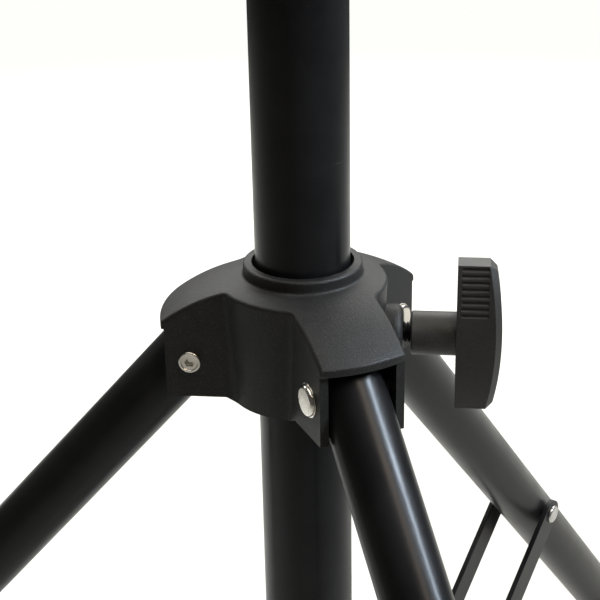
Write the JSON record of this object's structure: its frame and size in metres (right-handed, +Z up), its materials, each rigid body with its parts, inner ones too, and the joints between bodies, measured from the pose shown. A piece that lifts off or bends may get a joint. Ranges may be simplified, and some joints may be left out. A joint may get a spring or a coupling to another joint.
{
  "type": "folding floor stand",
  "caption": "Black folding floor stand: centre pole, sliding leg hub with clamp knob, hinged tube legs with flat braces and rubber feet.",
  "frame": {"origin": "on the pole's axis, at the floor, on the underside of the pole's foot cap", "axes": "+Z up along the pole, +X out along the clamp knob, one leg towards -X"},
  "size_m": [0.5566, 0.6378, 0.8418],
  "materials": {
    "coated_tube": "semi-gloss black powder coat on steel tube",
    "coated_bar": "semi-gloss black powder coat on flat steel bar",
    "hub_plastic": "fine-textured black glass-filled nylon",
    "knob_plastic": "matt black moulded plastic",
    "moulded_plastic": "matt black moulded plastic",
    "nylon": "dark nylon",
    "plated_steel": "bright zinc or nickel plate",
    "rivet_steel": "plain steel rivet",
    "blackened_steel": "black oxide steel",
    "rubber": "black moulded rubber"
  },
  "bodies": {
    "pole": {"pole_tube": "coated_tube", "pole_foot_cap": "rubber", "pole_head": "moulded_plastic", "camera_stud": "plated_steel", "camera_pad": "rubber", "lower_collar": "moulded_plastic", "collar_set_screws": "blackened_steel"},
    "hub": {"hub_casting": "hub_plastic", "hub_liner_upper": "nylon", "hub_liner_lower": "nylon", "clamp_nut": "plated_steel", "leg_pivot_sleeves": "plated_steel", "leg_pivot_screws": "plated_steel", "leg_pivot_washers": "plated_steel"},
    "pad": {"clamp_pad": "nylon"},
    "knob": {"knob_body": "knob_plastic", "knob_stud": "blackened_steel"},
    "leg_front": {"leg_tube_front": "coated_tube", "leg_plug_front": "moulded_plastic", "foot_front": "rubber", "leg_rivet_front": "rivet_steel"},
    "brace_front": {"brace_bar_front_a": "coated_bar", "brace_bar_front_b": "coated_bar", "collar_rivets_front": "rivet_steel"},
    "leg_rear": {"leg_tube_rear": "coated_tube", "leg_plug_rear": "moulded_plastic", "foot_rear": "rubber", "leg_rivet_rear": "rivet_steel"},
    "brace_rear": {"brace_bar_rear_a": "coated_bar", "brace_bar_rear_b": "coated_bar", "collar_rivets_rear": "rivet_steel"},
    "leg_left": {"leg_tube_left": "coated_tube", "leg_plug_left": "moulded_plastic", "foot_left": "rubber", "leg_rivet_left": "rivet_steel"},
    "brace_left": {"brace_bar_left_a": "coated_bar", "brace_bar_left_b": "coated_bar", "collar_rivets_left": "rivet_steel"}
  },
  "joints": [
    {"name": "hub_slide", "type": "slide", "parent": "pole", "child": "hub", "axis": [0, 0, 1], "range_m": [0, 0.12796]},
    {"name": "knob_turn", "type": "hinge", "parent": "pad", "child": "knob", "pos_m": [0.0484, 0, 0.35838], "axis": [1, 0, 0], "range_deg": [0, 720]},
    {"name": "pad_slide", "type": "slide", "parent": "hub", "child": "pad", "axis": [1, 0, 0], "range_m": [0, 0.0025]},
    {"name": "leg_front_fold", "type": "hinge", "parent": "hub", "child": "leg_front", "pos_m": [0.0203, -0.03516, 0.35153], "axis": [0.866, 0.5, 0], "range_deg": [0, 39.86]},
    {"name": "brace_front_fold", "type": "hinge", "parent": "leg_front", "child": "brace_front", "pos_m": [0.09536, -0.16517, 0.18393], "axis": [-0.866, -0.5, 0], "range_deg": [0, 82.08]},
    {"name": "leg_rear_fold", "type": "hinge", "parent": "hub", "child": "leg_rear", "pos_m": [0.0203, 0.03516, 0.35153], "axis": [-0.866, 0.5, 0], "range_deg": [0, 39.86]},
    {"name": "brace_rear_fold", "type": "hinge", "parent": "leg_rear", "child": "brace_rear", "pos_m": [0.09536, 0.16517, 0.18393], "axis": [0.866, -0.5, 0], "range_deg": [0, 82.08]},
    {"name": "leg_left_fold", "type": "hinge", "parent": "hub", "child": "leg_left", "pos_m": [-0.0406, 0, 0.35153], "axis": [0, -1, 0], "range_deg": [0, 39.86]},
    {"name": "brace_left_fold", "type": "hinge", "parent": "leg_left", "child": "brace_left", "pos_m": [-0.19072, 0, 0.18393], "axis": [0, 1, 0], "range_deg": [0, 82.08]}
  ],
  "couplings": [
    {"joint": "knob_turn", "follows": "pad_slide", "rad_per_m": 5026.5},
    {"joint": "leg_front_fold", "follows": "hub_slide", "rad_per_m": 5.4352},
    {"joint": "brace_front_fold", "follows": "hub_slide", "rad_per_m": 11.193},
    {"joint": "leg_rear_fold", "follows": "hub_slide", "rad_per_m": 5.4352},
    {"joint": "brace_rear_fold", "follows": "hub_slide", "rad_per_m": 11.193},
    {"joint": "leg_left_fold", "follows": "hub_slide", "rad_per_m": 5.4352},
    {"joint": "brace_left_fold", "follows": "hub_slide", "rad_per_m": 11.193}
  ]
}
